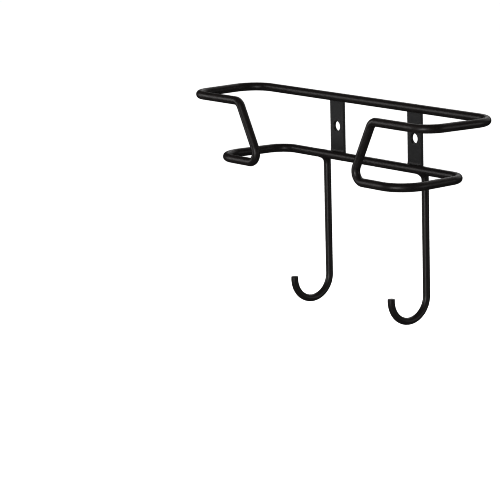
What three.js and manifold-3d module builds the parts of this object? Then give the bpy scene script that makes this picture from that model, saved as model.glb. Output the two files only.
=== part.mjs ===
// Wall-hung hair dryer holder: one bent wire frame, two flat wall straps and two J hooks, welded together.
// The dryer's barrel lies across the upper loop, its grip hangs down through the open front,
// and its cord is wound on the two hooks.
//
// Millimetres, +Z up. The wall is the plane y = 0 and the holder stands out from it towards -Y.
// The origin lies on the wall, midway between the two screw holes. Left and right are as seen facing the wall.

import * as THREE from "three";
import { mergeVertices } from "three/addons/utils/BufferGeometryUtils.js";
import Module from "manifold-3d";

// Stock sizes, each over its powder coat.
const frameWire = 5;
const hookWire = 4.2;
const strapWidth = 12;
const strapThickness = 2;
const jointGap = 0.3; // between pieces that meet

// Heights, from the screw holes.
const upperRailZ = 18.5;
const lowerRailZ = -17.5;
const hookBottomZ = -107.8;

// The two loops of the frame, by the corners of their centreline. Half widths are from the middle.
const upperLoop = { back: 111.5, front: 108, inner: 61.5, backBend: 15, frontBend: 12, innerBend: 6 };
const lowerLoop = { back: 83.3, front: 87, inner: 42.5, backBend: 12, frontBend: 16, innerBend: 6 };
const loopDepth = 51; // back rail to front arm, centre to centre

// Straps and hooks.
const strapX = 35.5;
const strapAboveRail = 1; // strap end past the upper rail's centreline
const strapBelowRail = 2; // strap end past the lower rail's centreline
const strapCorner = 3;
const screwHole = 6;
const screwSeat = 9; // the flat for a screw head reaches this far above and below the hole's centre
const hookX = 45;
const hookBend = 13.7;
const hookTip = 1.5; // straight end past the bend

// Weld deposits.
const strapWeldLeg = 3.4;
const strapWeldReach = -75; // where the strap weld ends on the rail, in degrees below its centre
const strapWeldInset = 0.5; // from each edge of the strap
const hookWeldHeight = 6.2;
const hookWeldTop = 1.4; // below the lower rail's centreline
const hookWeldSide = 5.2; // half width along the rail at the top
const hookWeldFront = 2.4; // half width across the rail at the top
const hookWeldRim = 0.5; // deposit round the hook at the bottom
const hookWeldFlare = 2.5; // the higher, the nearer the rail the collar spreads

// Fineness of the faceted surfaces.
const wireSides = 16;
const stepsPerRightAngle = 6;
const strapArcSteps = 12;
const weldSides = 32;
const weldSteps = 8;
const tiny = 1e-6;

const railY = -(strapThickness + jointGap + frameWire / 2);
const hookY = -hookWire / 2;

const wasm = await Module();
wasm.setup();

// Centreline of a wire bent round corners: straight runs joined by round bends.
// Its stations are the ends of the runs and the steps along each bend, and a sweep steps from one to the next.
class BentWire extends THREE.Curve {
  constructor(corners, bends, closed) {
    super();
    this.stations = [];
    this.closed = closed;
    corners.forEach((corner, i) => {
      const isEnd = !closed && (i === 0 || i === corners.length - 1);
      if (isEnd) {
        this.addStation(corner);
        return;
      }
      const before = corners.at(i - 1);
      const after = corners[(i + 1) % corners.length];
      this.addBend(before, corner, after, bends[i]);
    });
    this.segments = closed ? this.stations.length : this.stations.length - 1;
  }

  addStation(point) {
    const last = this.stations.at(-1);
    if (!last || last.distanceTo(point) > tiny) this.stations.push(point.clone());
  }

  addBend(before, corner, after, radius) {
    const toBefore = before.clone().sub(corner).normalize();
    const toAfter = after.clone().sub(corner).normalize();
    const turn = Math.PI - toBefore.angleTo(toAfter);
    const reach = radius * Math.tan(turn / 2);
    const inward = toBefore.clone().add(toAfter).normalize();
    const centre = corner.clone().addScaledVector(inward, radius / Math.cos(turn / 2));
    const start = corner.clone().addScaledVector(toBefore, reach).sub(centre);
    const end = corner.clone().addScaledVector(toAfter, reach).sub(centre);
    const axis = start.clone().cross(end).normalize();
    const steps = Math.ceil((turn / (Math.PI / 2)) * stepsPerRightAngle);
    for (let i = 0; i <= steps; i++) {
      const spoke = start.clone().applyAxisAngle(axis, (turn * i) / steps);
      this.addStation(centre.clone().add(spoke));
    }
  }

  station(index) {
    const count = this.stations.length;
    return this.closed ? this.stations[(index + count) % count] : this.stations[Math.min(index, count - 1)];
  }

  getPoint(t, target = new THREE.Vector3()) {
    const index = Math.floor(t * this.segments + tiny);
    const along = t * this.segments - index;
    return target.copy(this.station(index)).lerp(this.station(index + 1), along);
  }

  getPointAt(u, target) {
    return this.getPoint(u, target);
  }

  // At a station the tangent halves the turn between its two chords, so a swept wire keeps its thickness.
  getTangentAt(u, target = new THREE.Vector3()) {
    const index = Math.round(u * this.segments);
    const here = this.station(index);
    const isFirst = !this.closed && index === 0;
    const isLast = !this.closed && index === this.segments;
    const into = isFirst ? this.station(1).clone().sub(here) : here.clone().sub(this.station(index - 1));
    const outOf = isLast ? into : this.station(index + 1).clone().sub(here);
    return target.copy(into.normalize()).add(outOf.clone().normalize()).normalize();
  }
}

function coat(color, roughness) {
  return new THREE.MeshStandardMaterial({ color, roughness, metalness: 0.1 });
}

function namedMesh(name, geometry, material, x, y, z) {
  const mesh = new THREE.Mesh(geometry, material);
  mesh.name = name;
  mesh.position.set(x, y, z);
  return mesh;
}

function toSolid(geometry) {
  const bare = geometry.clone();
  bare.deleteAttribute("normal");
  bare.deleteAttribute("uv");
  const merged = mergeVertices(bare);
  const vertProperties = merged.attributes.position.array;
  const triVerts = new Uint32Array(merged.index.array);
  return new wasm.Manifold(new wasm.Mesh({ numProp: 3, vertProperties, triVerts }));
}

function toGeometry(solid) {
  const mesh = solid.getMesh();
  const geometry = new THREE.BufferGeometry();
  geometry.setAttribute("position", new THREE.BufferAttribute(mesh.vertProperties, 3));
  geometry.setIndex(new THREE.BufferAttribute(mesh.triVerts, 1));
  geometry.computeVertexNormals();
  return geometry;
}

// The left half's corners run from the upper back rail round to the lower back rail, and the right half returns.
function frameGeometry() {
  const frontY = railY - loopDepth;
  const leftHalf = [
    [upperLoop.back, railY, upperRailZ, upperLoop.backBend],
    [upperLoop.front, frontY, upperRailZ, upperLoop.frontBend],
    [upperLoop.inner, frontY, upperRailZ, upperLoop.innerBend],
    [lowerLoop.inner, frontY, lowerRailZ, lowerLoop.innerBend],
    [lowerLoop.front, frontY, lowerRailZ, lowerLoop.frontBend],
    [lowerLoop.back, railY, lowerRailZ, lowerLoop.backBend],
  ];
  const corners = [
    ...leftHalf.map(([x, y, z]) => new THREE.Vector3(-x, y, z)),
    ...leftHalf.toReversed().map(([x, y, z]) => new THREE.Vector3(x, y, z)),
  ];
  const leftBends = leftHalf.map((row) => row.at(-1));
  const bends = [...leftBends, ...leftBends.toReversed()];
  const path = new BentWire(corners, bends, true);
  // A closed tube has no open ends: its last ring is its first.
  return new THREE.TubeGeometry(path, path.segments, frameWire / 2, wireSides, true);
}

// A flat strap with round corners, modelled lying down with the screw hole at its origin.
function strapGeometry() {
  const half = strapWidth / 2;
  const top = upperRailZ + strapAboveRail;
  const bottom = lowerRailZ - strapBelowRail;
  const outline = new THREE.Shape();
  outline.absarc(half - strapCorner, top - strapCorner, strapCorner, 0, Math.PI / 2);
  outline.absarc(-half + strapCorner, top - strapCorner, strapCorner, Math.PI / 2, Math.PI);
  outline.lineTo(-half, screwSeat);
  outline.lineTo(-half, -screwSeat);
  outline.absarc(-half + strapCorner, bottom + strapCorner, strapCorner, Math.PI, 1.5 * Math.PI);
  outline.absarc(half - strapCorner, bottom + strapCorner, strapCorner, 1.5 * Math.PI, 2 * Math.PI);
  outline.lineTo(half, -screwSeat);
  outline.lineTo(half, screwSeat);
  const hole = new THREE.Path();
  hole.absarc(0, 0, screwHole / 2, 0, 2 * Math.PI);
  outline.holes.push(hole);
  const options = { depth: strapThickness, bevelEnabled: false, curveSegments: strapArcSteps };
  return new THREE.ExtrudeGeometry(outline, options).rotateX(Math.PI / 2);
}

// A J of round wire, with its square-cut top end at the origin and its tip towards -Y.
function hookGeometry() {
  const topZ = hookTopZ();
  const bendZ = hookBottomZ + hookWire / 2 - topZ;
  const tipY = -2 * hookBend;
  const corners = [
    new THREE.Vector3(0, 0, 0),
    new THREE.Vector3(0, 0, bendZ),
    new THREE.Vector3(0, tipY, bendZ),
    new THREE.Vector3(0, tipY, bendZ + hookBend + hookTip),
  ];
  const path = new BentWire(corners, [0, hookBend, hookBend, 0], false);
  const section = new THREE.Shape();
  section.absarc(0, 0, hookWire / 2, 0, 2 * Math.PI);
  return new THREE.ExtrudeGeometry(section, {
    steps: path.segments,
    extrudePath: path,
    curveSegments: wireSides,
  });
}

function hookTopZ() {
  return lowerRailZ - frameWire / 2 - jointGap;
}

// A concave fillet along the groove between a strap's face and the underside of a rail.
// Its section is drawn from the rail's centre, with the wall to the right.
function strapWeldGeometry() {
  const railReach = frameWire / 2 + jointGap;
  const faceReach = frameWire / 2; // a gap short of the strap's face
  const rootAngle = -Math.acos(faceReach / railReach);
  const endAngle = THREE.MathUtils.degToRad(strapWeldReach);
  const root = new THREE.Vector2(faceReach, railReach * Math.sin(rootAngle));
  const section = new THREE.Shape();
  section.moveTo(root.x, root.y - strapWeldLeg);
  section.lineTo(root.x, root.y);
  section.absarc(0, 0, railReach, rootAngle, endAngle, true);
  section.quadraticCurveTo(root.x, -railReach, root.x, root.y - strapWeldLeg);
  const length = strapWidth - 2 * strapWeldInset;
  const options = { depth: length, bevelEnabled: false, curveSegments: weldSteps };
  const bead = new THREE.ExtrudeGeometry(section, options);
  // Section x to the wall (+Y) and section y to +Z leave the bead's length along +X.
  const axes = new THREE.Matrix4().makeBasis(
    new THREE.Vector3(0, 1, 0),
    new THREE.Vector3(0, 0, 1),
    new THREE.Vector3(1, 0, 0),
  );
  return bead.applyMatrix4(axes).translate(-length / 2, 0, 0);
}

// A collar that flares from round the hook's end to the underside of the lower rail.
// It is turned about the hook's axis, then spread along the rail and drawn forward under it.
function hookWeldGeometry() {
  const bottomZ = -hookWeldTop - hookWeldHeight;
  const rim = hookWire / 2 + hookWeldRim;
  const profile = [new THREE.Vector2(0, bottomZ)];
  for (let i = 0; i <= weldSteps; i++) {
    profile.push(new THREE.Vector2(rim, bottomZ + (hookWeldHeight * i) / weldSteps));
  }
  profile.push(new THREE.Vector2(0, -hookWeldTop));
  const collar = new THREE.LatheGeometry(profile, weldSides).rotateX(Math.PI / 2);
  const place = collar.attributes.position;
  for (let i = 0; i < place.count; i++) {
    const rise = (place.getZ(i) - bottomZ) / hookWeldHeight;
    const spread = rise ** hookWeldFlare;
    const side = THREE.MathUtils.lerp(rim, hookWeldSide, spread) / rim;
    const front = THREE.MathUtils.lerp(rim, hookWeldFront, spread) / rim;
    const forward = (railY - hookY) * rise ** 2;
    place.setX(i, place.getX(i) * side);
    place.setY(i, hookY + place.getY(i) * front + forward);
  }
  const length = 4 * hookWeldSide; // the cutters run well past the collar
  const railRadius = frameWire / 2 + jointGap;
  const rail = new THREE.CylinderGeometry(railRadius, railRadius, length, weldSides);
  rail.rotateZ(Math.PI / 2).translate(0, railY, 0);
  const stemTop = hookTopZ() - lowerRailZ + jointGap;
  const stemRadius = hookWire / 2 + jointGap;
  const stem = new THREE.CylinderGeometry(stemRadius, stemRadius, length, weldSides);
  stem.rotateX(Math.PI / 2).translate(0, hookY, stemTop - length / 2);
  const wall = new THREE.BoxGeometry(length, length, length).translate(0, length / 2, 0);
  const cut = [rail, stem, wall].reduce((solid, tool) => solid.subtract(toSolid(tool)), toSolid(collar));
  return toGeometry(cut);
}

function buildHolder() {
  const frameCoat = coat(0x1b1b1c, 0.42);
  const strapCoat = coat(0x232324, 0.5);
  const hookCoat = coat(0x1b1b1c, 0.42);
  const weldCoat = coat(0x1e1e1f, 0.5);
  const holder = new THREE.Group();
  holder.name = "hair_dryer_holder";
  holder.add(namedMesh("frame_wire", frameGeometry(), frameCoat, 0, 0, 0));
  const lowerStrapWeld = strapWeldGeometry().rotateZ(Math.PI).rotateX(Math.PI);
  for (const [side, sign] of [["left", -1], ["right", 1]]) {
    const strapAt = sign * strapX;
    const hookAt = sign * hookX;
    holder.add(namedMesh(`strap_${side}`, strapGeometry(), strapCoat, strapAt, 0, 0));
    holder.add(namedMesh(`hook_${side}`, hookGeometry(), hookCoat, hookAt, hookY, hookTopZ()));
    holder.add(namedMesh(`weld_strap_upper_${side}`, strapWeldGeometry(), weldCoat, strapAt, railY, upperRailZ));
    holder.add(namedMesh(`weld_strap_lower_${side}`, lowerStrapWeld.clone(), weldCoat, strapAt, railY, lowerRailZ));
    holder.add(namedMesh(`weld_hook_${side}`, hookWeldGeometry(), weldCoat, hookAt, 0, lowerRailZ));
  }
  return holder;
}

export default buildHolder();
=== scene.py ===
import math
import bmesh
import bpy
from mathutils import Matrix, Vector


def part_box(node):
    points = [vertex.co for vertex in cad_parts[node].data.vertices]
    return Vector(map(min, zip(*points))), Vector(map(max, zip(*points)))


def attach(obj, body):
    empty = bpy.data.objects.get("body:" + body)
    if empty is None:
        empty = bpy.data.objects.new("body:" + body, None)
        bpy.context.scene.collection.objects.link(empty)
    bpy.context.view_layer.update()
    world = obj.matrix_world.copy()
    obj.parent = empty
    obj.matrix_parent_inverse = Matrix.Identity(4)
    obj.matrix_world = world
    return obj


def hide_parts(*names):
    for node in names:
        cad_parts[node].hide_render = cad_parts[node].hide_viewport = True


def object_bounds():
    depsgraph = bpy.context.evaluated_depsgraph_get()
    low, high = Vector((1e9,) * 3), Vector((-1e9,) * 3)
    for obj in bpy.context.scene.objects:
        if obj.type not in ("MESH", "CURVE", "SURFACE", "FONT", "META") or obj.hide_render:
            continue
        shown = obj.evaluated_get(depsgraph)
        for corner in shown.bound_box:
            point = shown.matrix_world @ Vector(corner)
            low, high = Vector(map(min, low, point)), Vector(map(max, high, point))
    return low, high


# A wall-hung hair dryer holder in black powder coat: one bent wire frame on two flat straps,
# with two cord hooks below, all welded together. The wall is the plane y = 0.

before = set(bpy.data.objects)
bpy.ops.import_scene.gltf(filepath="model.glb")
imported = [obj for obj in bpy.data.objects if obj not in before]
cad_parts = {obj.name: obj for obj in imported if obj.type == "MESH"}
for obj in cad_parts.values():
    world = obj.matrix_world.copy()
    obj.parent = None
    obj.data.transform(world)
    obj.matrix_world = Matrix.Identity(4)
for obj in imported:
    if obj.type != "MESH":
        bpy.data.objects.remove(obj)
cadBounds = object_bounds()
mm = 0.001
sides = ("left", "right")
print("frame loaded with", len(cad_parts), "CAD nodes")


class Signal:
    # an output socket that sums can be written on: each operator adds its Math node
    def __init__(self, nodes, socket):
        self.nodes = nodes
        self.socket = socket

    def pick(self, name):
        return Signal(self.nodes, self.socket.node.outputs[name])

    def math(self, operation, *values):
        return self.nodes.add("ShaderNodeMath", {"operation": operation}, dict(enumerate(values)))

    def __add__(self, other):
        return self.math("ADD", self, other)

    def __radd__(self, other):
        return self.math("ADD", other, self)

    def __sub__(self, other):
        return self.math("SUBTRACT", self, other)

    def __rsub__(self, other):
        return self.math("SUBTRACT", other, self)

    def __mul__(self, other):
        return self.math("MULTIPLY", self, other)

    def __rmul__(self, other):
        return self.math("MULTIPLY", other, self)

    def __truediv__(self, other):
        return self.math("DIVIDE", self, other)

    def __rtruediv__(self, other):
        return self.math("DIVIDE", other, self)

    def larger(self, other):
        return self.math("MAXIMUM", self, other)

    def smaller(self, other):
        return self.math("MINIMUM", self, other)

    def hypot(self, other):
        return self.math("SQRT", self * self + other * other)

    def blended(self, other, reach):
        return self.math("SMOOTH_MIN", self, other, reach)


class Nodes:
    # adds nodes to one tree: settings come first, then each socket's value or link
    def __init__(self, tree):
        self.tree = tree

    def add(self, kind, settings=None, sockets=None, output=0):
        node = self.tree.nodes.new(kind)
        for name, value in (settings or {}).items():
            setattr(node, name, value)
        for key, value in (sockets or {}).items():
            if isinstance(value, Signal):
                self.tree.links.new(value.socket, node.inputs[key])
            else:
                node.inputs[key].default_value = value
        return Signal(self, node.outputs[output]) if node.outputs else None


# Black powder coat. Sizes of its pattern are in metres on the real surface.
coatLook = {
    "deep": (0.0098, 0.0080, 0.0076, 1),  # where the powder flowed thick
    "thin": (0.0230, 0.0190, 0.0182, 1),
    "cloud": 9 * mm,  # slow drift in tone
    "peel": 0.9 * mm,  # orange peel
    "grain": 0.22 * mm,  # powder grain
    "softDetail": 2,
    "grainDetail": 3,
    "cloudShare": 0.4,  # each pattern's share of the tone
    "peelShare": 0.35,
    "grainShare": 0.25,
    "contrast": 3.0,
    "roughness": 0.46,
    "roughnessDrift": 0.10,
    "peelHeight": 0.024 * mm,
    "grainHeight": 0.005 * mm,
    "ior": 1.5,
    "skin": 0.12,  # the smoother skin that melted powder leaves on top
    "skinRoughness": 0.24,
}
strapLook = {
    **coatLook,
    "deep": (0.0120, 0.0117, 0.0120, 1),
    "thin": (0.0270, 0.0264, 0.0270, 1),
    "roughness": 0.5,
    "skin": 0.0,
}
weldLook = {
    **coatLook,
    "peel": 1.3 * mm,
    "peelHeight": 0.030 * mm,
}
noiseMiddle = 0.5  # noise swings to both sides of this


def powderCoat(name, look):
    material = bpy.data.materials.new(name)
    material.use_nodes = True
    material.node_tree.nodes.clear()
    nodes = Nodes(material.node_tree)
    place = nodes.add("ShaderNodeTexCoord", output="Object")

    def pattern(size, detail):
        return nodes.add("ShaderNodeTexNoise", sockets={"Vector": place, "Scale": 1 / size, "Detail": detail})

    cloud = pattern(look["cloud"], look["softDetail"])
    peel = pattern(look["peel"], look["softDetail"])
    grain = pattern(look["grain"], look["grainDetail"])
    mixed = cloud * look["cloudShare"] + peel * look["peelShare"] + grain * look["grainShare"]
    tone = (mixed - noiseMiddle) * look["contrast"] + noiseMiddle
    colour = nodes.add("ShaderNodeMix", {"data_type": "RGBA"}, {0: tone, 6: look["deep"], 7: look["thin"]}, 2)
    roughness = look["roughness"] + (peel + cloud - 2 * noiseMiddle) * look["roughnessDrift"]
    height = peel * look["peelHeight"] + grain * look["grainHeight"]
    normal = nodes.add("ShaderNodeBump", sockets={"Strength": 1.0, "Distance": 1.0, "Height": height})
    coat = nodes.add("ShaderNodeBsdfPrincipled", sockets={
        "Base Color": colour,
        "Roughness": roughness,
        "Normal": normal,
        "IOR": look["ior"],
        "Coat Weight": look["skin"],
        "Coat Roughness": look["skinRoughness"],
    })
    nodes.add("ShaderNodeOutputMaterial", sockets={"Surface": coat})
    return material


wireCoat = powderCoat("blackWireCoat", coatLook)
strapCoat = powderCoat("blackStrapCoat", strapLook)
weldCoat = powderCoat("blackWeldCoat", weldLook)
print("powder coats mixed")


def newTree(name, inputs):
    # inputs: each name with its socket type
    tree = bpy.data.node_groups.new(name, "GeometryNodeTree")
    for label, kind in inputs.items():
        tree.interface.new_socket(name=label, in_out="INPUT", socket_type="NodeSocket" + kind)
    tree.interface.new_socket(name="Result", in_out="OUTPUT", socket_type="NodeSocketGeometry")
    return tree


def closeTree(nodes, shape, coat):
    # every tree ends the same way: smooth, real geometry, with its coat on
    smooth = nodes.add("GeometryNodeSetShadeSmooth", sockets={"Geometry": shape})
    real = nodes.add("GeometryNodeRealizeInstances", sockets={"Geometry": smooth})
    coated = nodes.add("GeometryNodeSetMaterial", sockets={"Geometry": real, "Material": coat})
    nodes.add("NodeGroupOutput", sockets={0: coated})


def meshObject(name, mesh):
    made = bpy.data.objects.new(name, mesh)
    bpy.context.scene.collection.objects.link(made)
    return made


def growTree(base, tree, values):
    # puts the tree on the object, with its inputs set by their identifiers
    modifier = base.modifiers.new(tree.name, "NODES")
    modifier.node_group = tree
    for item in tree.interface.items_tree:
        if item.in_out == "INPUT" and item.name in values:
            modifier[item.identifier] = values[item.name]


def plain(grown):
    # a plain mesh of what the modifiers show, in place of the object's own
    evaluated = grown.evaluated_get(bpy.context.evaluated_depsgraph_get())
    mesh = bpy.data.meshes.new_from_object(evaluated)
    mesh.name = grown.name
    grown.modifiers.clear()
    grown.data = mesh
    return grown


def finishPiece(piece, slot, *cadNodes):
    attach(piece, "root")
    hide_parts(*cadNodes)
    print(piece.name, "has", len(piece.data.polygons), "faces")


# A round wire swept along a line with rounded corners. The line's vertices carry their bend radius.
def bentWireTree():
    tree = newTree("bentWire", {
        "Corners": "Geometry",
        "Wire Diameter": "Float",
        "Wire Sides": "Int",
        "Bend Steps": "Int",
        "Ring Spacing": "Float",
        "Coat": "Material",
    })
    nodes = Nodes(tree)
    given = nodes.add("NodeGroupInput")
    bend = nodes.add("GeometryNodeInputNamedAttribute", {"data_type": "FLOAT"}, {"Name": "bend"})
    line = nodes.add("GeometryNodeMeshToCurve", sockets={"Mesh": given.pick("Corners")})
    bent = nodes.add(
        "GeometryNodeFilletCurve",
        {"mode": "POLY"},
        {"Curve": line, "Count": given.pick("Bend Steps"), "Radius": bend},
    )
    even = nodes.add(
        "GeometryNodeResampleCurve",
        {"mode": "LENGTH"},
        {"Curve": bent, "Length": given.pick("Ring Spacing")},
    )
    section = nodes.add(
        "GeometryNodeCurvePrimitiveCircle",
        {"mode": "RADIUS"},
        {"Resolution": given.pick("Wire Sides"), "Radius": given.pick("Wire Diameter") * 0.5},
    )
    swept = nodes.add(
        "GeometryNodeCurveToMesh",
        sockets={"Curve": even, "Profile Curve": section, "Fill Caps": True},
    )
    closeTree(nodes, swept, given.pick("Coat"))
    return tree


def cornerLine(name, corners, bends, closed):
    mesh = bpy.data.meshes.new(name)
    edges = [(i, i + 1) for i in range(len(corners) - 1)]
    if closed:
        edges.append((len(corners) - 1, 0))
    mesh.from_pydata(corners, edges, [])
    bend = mesh.attributes.new("bend", "FLOAT", "POINT")
    bend.data.foreach_set("value", bends)
    return meshObject(name, mesh)


bentWire = bentWireTree()

# The frame: an upper and a lower loop, open at the front, joined by two leaning uprights.
# Half widths are from the middle to the corners of the wire's centreline.
frameWire = {
    "diameter": 5 * mm,
    "upper": {"back": 111.5 * mm, "front": 108 * mm, "inner": 61.5 * mm},
    "upperBends": {"back": 15 * mm, "front": 12 * mm, "inner": 6 * mm},
    "lower": {"back": 83.3 * mm, "front": 87 * mm, "inner": 42.5 * mm},
    "lowerBends": {"back": 12 * mm, "front": 16 * mm, "inner": 6 * mm},
    "sides": 40,
    "bendSteps": 24,
    "ringSpacing": 0.7 * mm,
}
frameLow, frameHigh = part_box("frame_wire")
frameRadius = frameWire["diameter"] / 2
upperRailZ = frameHigh.z - frameRadius
lowerRailZ = frameLow.z + frameRadius
railY = frameHigh.y - frameRadius
armY = frameLow.y + frameRadius


def buildFrameWire():
    places = {"back": railY, "front": armY, "inner": armY}
    leftHalf = []
    leftBends = []
    for corner in ("back", "front", "inner"):
        leftHalf.append((-frameWire["upper"][corner], places[corner], upperRailZ))
        leftBends.append(frameWire["upperBends"][corner])
    for corner in ("inner", "front", "back"):
        leftHalf.append((-frameWire["lower"][corner], places[corner], lowerRailZ))
        leftBends.append(frameWire["lowerBends"][corner])
    corners = leftHalf + [(-x, y, z) for x, y, z in reversed(leftHalf)]
    bends = leftBends + leftBends[::-1]
    piece = cornerLine("frameWire", corners, bends, True)
    growTree(piece, bentWire, {
        "Wire Diameter": frameWire["diameter"],
        "Wire Sides": frameWire["sides"],
        "Bend Steps": frameWire["bendSteps"],
        "Ring Spacing": frameWire["ringSpacing"],
        "Coat": wireCoat,
    })
    finishPiece(plain(piece), "wire_coat", "frame_wire")


buildFrameWire()

# The two cord hooks, each a J whose tip points up.
hook = {
    "tipRounding": 0.3 * mm,  # coat softens the square-cut end
    "tipSegments": 3,
    "tipAngle": 60,  # an edge turns at least this many degrees to be rounded
    "sides": 36,
    "bendSteps": 48,
    "ringSpacing": 0.7 * mm,
    "straightTip": 1.5 * mm,
}


def buildHook(side):
    low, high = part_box("hook_" + side)
    wire = high.x - low.x
    x = (low.x + high.x) / 2
    stemY = high.y - wire / 2
    tipY = low.y + wire / 2
    bottomZ = low.z + wire / 2
    bend = (stemY - tipY) / 2
    corners = [
        (x, stemY, high.z),
        (x, stemY, bottomZ),
        (x, tipY, bottomZ),
        (x, tipY, bottomZ + bend + hook["straightTip"]),
    ]
    piece = cornerLine("hook" + side.title(), corners, [0, bend, bend, 0], False)
    growTree(piece, bentWire, {
        "Wire Diameter": wire,
        "Wire Sides": hook["sides"],
        "Bend Steps": hook["bendSteps"],
        "Ring Spacing": hook["ringSpacing"],
        "Coat": wireCoat,
    })
    rounding = piece.modifiers.new("tipRounding", "BEVEL")
    rounding.width = hook["tipRounding"]
    rounding.segments = hook["tipSegments"]
    rounding.limit_method = "ANGLE"
    rounding.angle_limit = math.radians(hook["tipAngle"])
    rounding.harden_normals = True
    finishPiece(plain(piece), "wire_coat", "hook_" + side)


for side in sides:
    buildHook(side)

# The flat straps, with a plain screw hole each and edges rounded by the coat.
strap = {
    "corner": 3 * mm,
    "hole": 6 * mm,
    "holeZ": 0.0,
    "edge": 0.35 * mm,
    "edgeSteps": 4,
    "cornerSteps": 10,
    "holeSteps": 72,
    "flatWeight": 100,  # broad flat faces rule the shading beside them
}


def roundedRectangle(middle, halfWidth, halfHeight, corner):
    # counterclockwise, as seen facing the wall
    ring = []
    steps = strap["cornerSteps"]
    for quarter, (signX, signZ) in enumerate([(1, 1), (-1, 1), (-1, -1), (1, -1)]):
        centreX = middle.x + signX * (halfWidth - corner)
        centreZ = middle.z + signZ * (halfHeight - corner)
        for i in range(steps + 1):
            angle = math.radians(90) * (quarter + i / steps)
            ring.append((centreX + corner * math.cos(angle), centreZ + corner * math.sin(angle)))
    return ring


def roundRing(x, z, radius):
    steps = strap["holeSteps"]
    angles = [math.tau * i / steps for i in range(steps)]
    return [(x + radius * math.cos(angle), z + radius * math.sin(angle)) for angle in angles]


def edgeProfile(front, back):
    # inset and depth of each ring, from the front face over both rounded edges to the back face
    edge = strap["edge"]
    turns = [math.radians(90) * i / strap["edgeSteps"] for i in range(strap["edgeSteps"] + 1)]
    over = [(edge * (1 - math.sin(turn)), front + edge * (1 - math.cos(turn))) for turn in turns]
    under = [(edge * (1 - math.sin(turn)), back - edge * (1 - math.cos(turn))) for turn in reversed(turns)]
    return over + under


def buildStrap(side):
    low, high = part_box("strap_" + side)
    middle = (low + high) / 2
    half = (high - low) / 2
    holeRadius = strap["hole"] / 2
    shape = bmesh.new()
    outerRings = []
    holeRings = []
    for inset, y in edgeProfile(low.y, high.y):
        outline = roundedRectangle(middle, half.x - inset, half.z - inset, strap["corner"] - inset)
        rim = roundRing(middle.x, strap["holeZ"], holeRadius + inset)
        outerRings.append([shape.verts.new((x, y, z)) for x, z in outline])
        holeRings.append([shape.verts.new((x, y, z)) for x, z in rim])
    for rings in (outerRings, holeRings):
        for first, second in zip(rings, rings[1:]):
            for i in range(len(first)):
                after = (i + 1) % len(first)
                shape.faces.new((first[i], first[after], second[after], second[i]))
    for end in (0, -1):
        borders = []
        for ring in (outerRings[end], holeRings[end]):
            for i in range(len(ring)):
                borders.append(shape.edges.get((ring[i], ring[(i + 1) % len(ring)])))
        bmesh.ops.triangle_fill(shape, edges=borders, use_beauty=True)
    bmesh.ops.recalc_face_normals(shape, faces=shape.faces)
    for face in shape.faces:
        face.smooth = True
    mesh = bpy.data.meshes.new("strap")
    shape.to_mesh(mesh)
    shape.free()
    mesh.materials.append(strapCoat)
    piece = meshObject("strap" + side.title(), mesh)
    piece.modifiers.new("flatFaces", "WEIGHTED_NORMAL").weight = strap["flatWeight"]
    finishPiece(plain(piece), "strap_coat", "strap_" + side)


for side in sides:
    buildStrap(side)

# Weld metal fills the corner between a rail and what is welded to it. Its surface is where the distances
# to the two pieces, smoothly blended, come to nothing; past its reach it sinks into the pieces.
weld = {
    "grid": 0.22 * mm,
    "outside": -1 * mm,  # the field beyond its box, where no metal is
    "sink": 0.03 * mm,  # the weld's skin lies this far inside a wire's own surface
    "ripple": 1.7 * mm,  # size of the ripples that the torch leaves
    "rippleDetail": 1,
    "rippleShare": 0.9,  # their height, as a share of the metal under them
    "hookFillet": 5.6 * mm,
    "hookReach": 6.6 * mm,
    "hookRoom": (9 * mm, 7 * mm, 8 * mm),
    "stemRise": 2.4 * mm,  # weld metal over the stem's square top
    "strapFillet": 2.8 * mm,
    "strapReach": 7 * mm,
    "strapRoom": (10 * mm, 6 * mm, 6 * mm),
}

weldInputs = {
    "Rail Place": "Vector",
    "Rail Radius": "Float",
    "Middle": "Vector",
    "Half Room": "Vector",
    "Grid": "Float",
    "Fillet": "Float",
    "Reach": "Float",
    "Sink": "Float",
    "Coat": "Material",
}


def startWeld(tree):
    # the nodes, the given values, and the distance outside the rail
    nodes = Nodes(tree)
    given = nodes.add("NodeGroupInput")
    here = nodes.add("GeometryNodeInputPosition")
    split = nodes.add("ShaderNodeSeparateXYZ", sockets={0: here})
    railAt = nodes.add("ShaderNodeSeparateXYZ", sockets={0: given.pick("Rail Place")})
    acrossY = split.pick("Y") - railAt.pick("Y")
    acrossZ = split.pick("Z") - railAt.pick("Z")
    return nodes, given, here, split, acrossY.hypot(acrossZ) - given.pick("Rail Radius")


def vectorMath(nodes, operation, first, second=(0, 0, 0), output=0):
    return nodes.add("ShaderNodeVectorMath", {"operation": operation}, {0: first, 1: second}, output)


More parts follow.
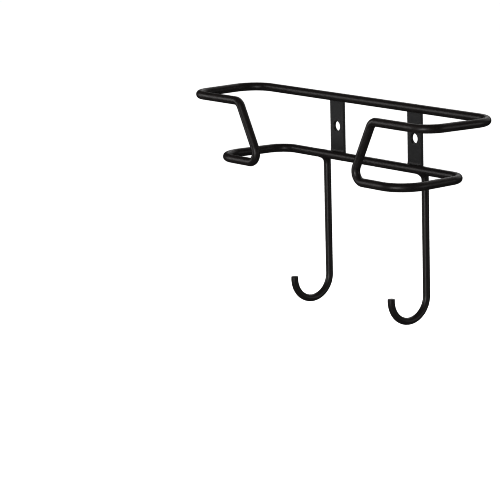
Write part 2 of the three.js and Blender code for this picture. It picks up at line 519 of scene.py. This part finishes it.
def closeWeld(nodes, given, here, split, railGap, otherGap):
    smooth = railGap.blended(otherGap, given.pick("Fillet"))
    metal = railGap.smaller(otherGap) - smooth
    ripple = nodes.add(
        "ShaderNodeTexNoise",
        sockets={"Vector": here, "Scale": 1 / weld["ripple"], "Detail": weld["rippleDetail"]},
    )
    gap = smooth + (ripple - noiseMiddle) * metal * weld["rippleShare"]
    away = vectorMath(nodes, "DISTANCE", here, given.pick("Middle"), "Value")
    sunk = (gap + given.pick("Sink") + (away - given.pick("Reach")).larger(0)).larger(split.pick("Y"))
    halfRoom = given.pick("Half Room")
    low = vectorMath(nodes, "SUBTRACT", given.pick("Middle"), halfRoom)
    high = vectorMath(nodes, "ADD", given.pick("Middle"), halfRoom)
    room = nodes.add("ShaderNodeSeparateXYZ", sockets={0: halfRoom})
    counts = {"Resolution " + axis: room.pick(axis) * 2 / given.pick("Grid") for axis in "XYZ"}
    cloud = nodes.add(
        "GeometryNodeVolumeCube",
        sockets={"Density": 0 - sunk, "Background": weld["outside"], "Min": low, "Max": high, **counts},
    )
    skin = nodes.add(
        "GeometryNodeVolumeToMesh",
        {"resolution_mode": "GRID"},
        {"Volume": cloud, "Threshold": 0.0},
    )
    closeTree(nodes, skin, given.pick("Coat"))


# Where a hook's stem meets the lower rail.
def hookWeldTree():
    tree = newTree("hookWeld", {**weldInputs, "Stem Top": "Vector", "Stem Radius": "Float"})
    nodes, given, here, split, railGap = startWeld(tree)
    top = nodes.add("ShaderNodeSeparateXYZ", sockets={0: given.pick("Stem Top")})
    acrossX = split.pick("X") - top.pick("X")
    acrossY = split.pick("Y") - top.pick("Y")
    aside = acrossX.hypot(acrossY) - given.pick("Stem Radius")
    above = split.pick("Z") - top.pick("Z")
    stemGap = aside.larger(0).hypot(above.larger(0)) + aside.larger(above).smaller(0)
    closeWeld(nodes, given, here, split, railGap, stemGap)
    return tree


# Where a flat strap passes behind a rail.
def strapWeldTree():
    tree = newTree("strapWeld", {**weldInputs, "Strap Middle": "Vector", "Strap Half": "Vector"})
    nodes, given, here, split, railGap = startWeld(tree)
    fromMiddle = vectorMath(nodes, "SUBTRACT", here, given.pick("Strap Middle"))
    past = vectorMath(nodes, "SUBTRACT", vectorMath(nodes, "ABSOLUTE", fromMiddle), given.pick("Strap Half"))
    outside = vectorMath(nodes, "LENGTH", vectorMath(nodes, "MAXIMUM", past), output="Value")
    each = nodes.add("ShaderNodeSeparateXYZ", sockets={0: past})
    inside = each.pick("X").larger(each.pick("Y")).larger(each.pick("Z")).smaller(0)
    closeWeld(nodes, given, here, split, railGap, outside + inside)
    return tree


def weldPiece(name, tree, railZ, x, values):
    piece = meshObject(name, bpy.data.meshes.new(name))
    growTree(piece, tree, {
        "Rail Place": (x, railY, railZ),
        "Rail Radius": frameRadius,
        "Grid": weld["grid"],
        "Sink": weld["sink"],
        "Coat": weldCoat,
        **values,
    })
    return plain(piece)


def buildHookWeld(tree, side):
    low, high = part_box("hook_" + side)
    stemRadius = (high.x - low.x) / 2
    x = (low.x + high.x) / 2
    piece = weldPiece("hookWeld" + side.title(), tree, lowerRailZ, x, {
        "Middle": (x, (railY + high.y - stemRadius) / 2, lowerRailZ - frameRadius),
        "Half Room": weld["hookRoom"],
        "Fillet": weld["hookFillet"],
        "Reach": weld["hookReach"],
        "Stem Top": (x, high.y - stemRadius, high.z + weld["stemRise"]),
        "Stem Radius": stemRadius,
    })
    finishPiece(piece, "weld_coat", "weld_hook_" + side)


def buildStrapWeld(tree, side, level, railZ):
    low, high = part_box("strap_" + side)
    x = (low.x + high.x) / 2
    piece = weldPiece("strapWeld" + level.title() + side.title(), tree, railZ, x, {
        "Middle": (x, (railY + low.y) / 2, railZ),
        "Half Room": weld["strapRoom"],
        "Fillet": weld["strapFillet"],
        "Reach": weld["strapReach"],
        "Strap Middle": (low + high) / 2,
        "Strap Half": (high - low) / 2,
    })
    finishPiece(piece, "weld_coat", f"weld_strap_{level}_{side}")


hookWeld = hookWeldTree()
strapWeld = strapWeldTree()
for side in sides:
    buildHookWeld(hookWeld, side)
    buildStrapWeld(strapWeld, side, "upper", upperRailZ)
    buildStrapWeld(strapWeld, side, "lower", lowerRailZ)
print("holder built")

# The stage: a wide pale floor well below the hooks.
stage = {
    "floorDrop": 0.45,  # metres below the hooks
    "floorSize": 30.0,
    "floorRoughness": 0.9,
    "pale": (0.93, 0.93, 0.93, 1),
    "worldToEye": 1.0,  # how bright the surround looks
    "worldToLight": 0.06,  # and how much it lights
    "contrast": 0.68,
    "edgeBlur": 1.0,
}


def buildFloor():
    half = stage["floorSize"] / 2
    z = cadBounds[0].z - stage["floorDrop"]
    mesh = bpy.data.meshes.new("floor")
    corners = [(-half, -half, z), (half, -half, z), (half, half, z), (-half, half, z)]
    mesh.from_pydata(corners, [], [(0, 1, 2, 3)])
    floor = meshObject("floor", mesh)
    material = bpy.data.materials.new("paleFloor")
    material.use_nodes = True
    material.node_tree.nodes.clear()
    nodes = Nodes(material.node_tree)
    matte = nodes.add("ShaderNodeBsdfPrincipled", sockets={
        "Base Color": stage["pale"],
        "Roughness": stage["floorRoughness"],
        "Specular IOR Level": 0.0,
    })
    nodes.add("ShaderNodeOutputMaterial", sockets={"Surface": matte})
    mesh.materials.append(material)
    floor.visible_glossy = False


def buildWorld():
    world = bpy.data.worlds.new("paleRoom")
    bpy.context.scene.world = world
    world.use_nodes = True
    world.node_tree.nodes.clear()
    nodes = Nodes(world.node_tree)
    toEye = nodes.add("ShaderNodeLightPath", output="Is Camera Ray")
    strength = toEye * (stage["worldToEye"] - stage["worldToLight"]) + stage["worldToLight"]
    glow = nodes.add("ShaderNodeBackground", sockets={"Color": (1, 1, 1, 1), "Strength": strength})
    nodes.add("ShaderNodeOutputWorld", sockets={"Surface": glow})


# Soft boxes round the holder, in degrees, metres and watts. Azimuth 0 is straight in front of the wall
# and 90 to its right.
softboxes = {
    "frontBox": {"azimuth": 22, "elevation": 3, "distance": 1.7, "size": 0.9, "power": 23},
    "leftBox": {"azimuth": -52, "elevation": 8, "distance": 1.6, "size": 0.9, "power": 8},
    "rightBox": {"azimuth": 122, "elevation": 5, "distance": 1.6, "size": 0.8, "power": 5},
    "rimBox": {"azimuth": 224, "elevation": 28, "distance": 2.4, "size": 1.2, "power": 7},
    "backBox": {"azimuth": 190, "elevation": 30, "distance": 1.7, "size": 1.4, "power": 6},
}
overhead = {"strength": 3.3, "spread": 30}


def viewDirection(azimuth, elevation):
    around = math.radians(azimuth)
    up = math.radians(elevation)
    return Vector((math.sin(around) * math.cos(up), -math.cos(around) * math.cos(up), math.sin(up)))


def lampObject(name, kind):
    light = bpy.data.objects.new(name, bpy.data.lights.new(name, kind))
    bpy.context.scene.collection.objects.link(light)
    return light


def buildSoftbox(name, box):
    middle = (cadBounds[0] + cadBounds[1]) / 2
    light = lampObject(name, "AREA")
    light.data.shape = "DISK"
    light.data.size = box["size"]
    light.data.energy = box["power"]
    light.visible_camera = False
    light.location = middle + viewDirection(box["azimuth"], box["elevation"]) * box["distance"]
    light.rotation_mode = "QUATERNION"
    light.rotation_quaternion = (middle - light.location).to_track_quat("-Z", "Y")


def buildOverhead():
    # a wide soft sun, straight down, that the wires don't mirror
    light = lampObject("overhead", "SUN")
    light.data.energy = overhead["strength"]
    light.data.angle = math.radians(overhead["spread"])
    light.visible_glossy = False


# The camera stands to the holder's right, a little above it, and looks past its lower left.
camera = {
    "azimuth": 52.62,
    "elevation": 11.24,
    "roll": -1.495,
    "distance": 1551.4 * mm,
    "lookAt": Vector((-31.45, -73.59, -65.85)) * mm,
    "lens": 188.32,
    "sensor": 36,
}


def buildCamera():
    lens = bpy.data.cameras.new("camera")
    lens.lens = camera["lens"]
    lens.sensor_width = camera["sensor"]
    eye = bpy.data.objects.new("camera", lens)
    bpy.context.scene.collection.objects.link(eye)
    back = viewDirection(camera["azimuth"], camera["elevation"])
    turn = back.to_track_quat("Z", "Y").to_matrix() @ Matrix.Rotation(math.radians(camera["roll"]), 3, "Z")
    eye.matrix_world = Matrix.Translation(camera["lookAt"] + back * camera["distance"]) @ turn.to_4x4()
    bpy.context.scene.camera = eye


buildFloor()
buildWorld()
for name, box in softboxes.items():
    buildSoftbox(name, box)
buildOverhead()
buildCamera()
# The edges of thin black wires come out pale against white, and a low gamma darkens them again.
bpy.context.scene.view_settings.view_transform = "Standard"
bpy.context.scene.view_settings.gamma = stage["contrast"]
bpy.context.scene.cycles.filter_width = stage["edgeBlur"]
print("stage and lights set")
